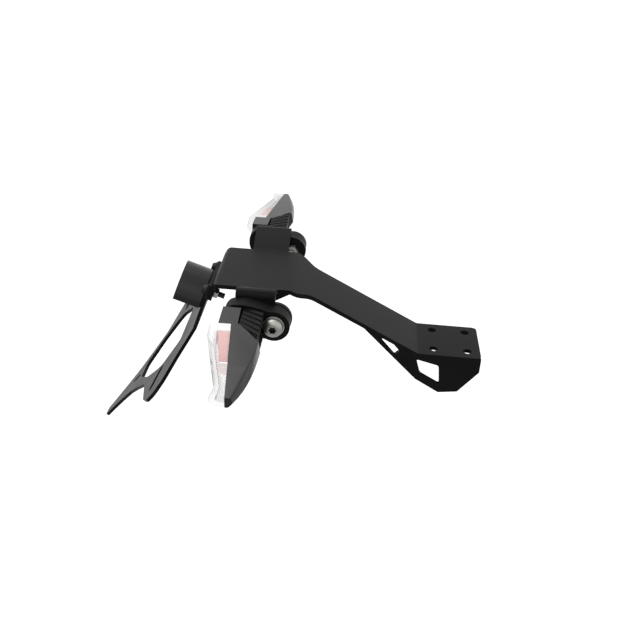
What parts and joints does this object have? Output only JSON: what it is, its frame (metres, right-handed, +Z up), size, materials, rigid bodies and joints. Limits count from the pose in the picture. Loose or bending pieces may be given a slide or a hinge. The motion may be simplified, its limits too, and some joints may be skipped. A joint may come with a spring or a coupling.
{
  "type": "motorbike tail tidy",
  "caption": "Motorbike tail tidy: folded steel carrier with bolt-on mounting pad, winged number plate bracket, half-round plate lamp and slim indicators on raised arms.",
  "frame": {"origin": "centre of the four fixing holes, on the upper face of the mounting pad", "axes": "+X to the front of the bike, +Y to its left side, +Z up"},
  "size_m": [0.2892, 0.327, 0.1528],
  "materials": {
    "carrier_steel": "satin black powder coat",
    "bracket_steel": "satin black powder coat",
    "fastener_steel": "zinc plated, dull silver",
    "lamp_plastic": "satin black moulding",
    "clear_plastic": "clear gloss lens",
    "circuit_board": "green solder mask",
    "rubber": "matt black rubber",
    "indicator_plastic": "semi-gloss black moulding",
    "reflector_plastic": "bright silver-white moulding",
    "light_bar_plastic": "tinted light guide"
  },
  "bodies": {
    "root": {"carrier": "carrier_steel", "plate_bracket": "bracket_steel", "bracket_screws": "fastener_steel", "bracket_washers": "fastener_steel", "bracket_nuts": "fastener_steel", "lamp_housing": "lamp_plastic", "lamp_window": "clear_plastic", "lamp_board": "circuit_board", "lamp_gasket": "rubber", "lamp_studs": "fastener_steel", "lamp_nuts": "fastener_steel", "foot_right": "rubber", "shell_right": "indicator_plastic", "lens_right": "clear_plastic", "reflector_right": "reflector_plastic", "light_bar_right": "light_bar_plastic", "board_right": "circuit_board", "bolt_right": "fastener_steel", "washer_right": "fastener_steel", "sleeve_right": "fastener_steel", "nut_right": "fastener_steel", "foot_left": "rubber", "shell_left": "indicator_plastic", "lens_left": "clear_plastic", "reflector_left": "reflector_plastic", "light_bar_left": "light_bar_plastic", "board_left": "circuit_board", "bolt_left": "fastener_steel", "washer_left": "fastener_steel", "sleeve_left": "fastener_steel", "nut_left": "fastener_steel"}
  },
  "joints": []
}
